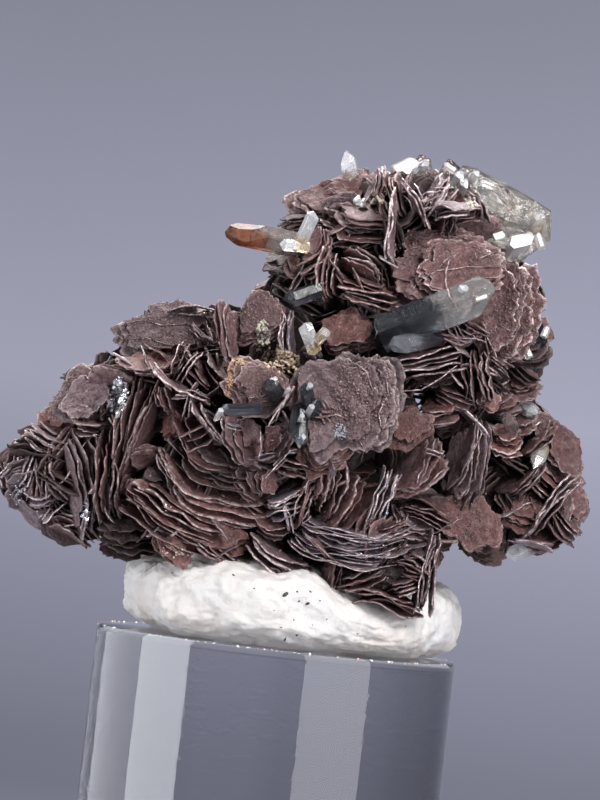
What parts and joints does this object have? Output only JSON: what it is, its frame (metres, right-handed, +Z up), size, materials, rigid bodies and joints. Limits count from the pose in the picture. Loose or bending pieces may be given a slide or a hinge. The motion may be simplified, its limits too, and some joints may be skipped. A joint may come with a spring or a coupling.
{
  "type": "specular hematite specimen",
  "caption": "Specular hematite in crossed stacks of thin brown sheets with clear, smoky and stained quartz crystals, held by white putty on a clear round display rod.",
  "frame": {"origin": "centre of the rod's flat foot", "axes": "+Z up along the rod's axis, +X to the right and +Y away from the viewer as the specimen is shown"},
  "size_m": [0.0412, 0.025, 0.06],
  "materials": {
    "hematite": "satin mauve-brown sheets with a dull metallic sheen and paler edges",
    "quartz_clear": "clear, glossy, slightly veiled crystal",
    "quartz_smoky": "smoky grey, glossy, striated crystal",
    "quartz_stained": "glossy crystal stained orange-brown by iron",
    "putty": "soft white putty, kneaded and slightly soiled",
    "acrylic": "polished clear acrylic"
  },
  "bodies": {
    "root": {"display_rod": "acrylic", "putty_pad": "putty", "hematite_cluster": "hematite", "quartz_top_cluster": "quartz_clear", "quartz_smoky_pair": "quartz_smoky", "quartz_stained": "quartz_stained", "quartz_left_pair": "quartz_clear", "quartz_top_small": "quartz_clear", "quartz_smoky_right": "quartz_smoky", "quartz_right_small": "quartz_clear", "quartz_right_inner": "quartz_clear", "quartz_right_glint": "quartz_clear", "quartz_low_right": "quartz_clear", "quartz_notch_dark": "quartz_smoky", "quartz_middle_pair": "quartz_clear", "quartz_rosette_upright": "quartz_smoky", "quartz_rosette_black": "quartz_smoky", "quartz_rosette_left": "quartz_smoky"}
  },
  "joints": []
}
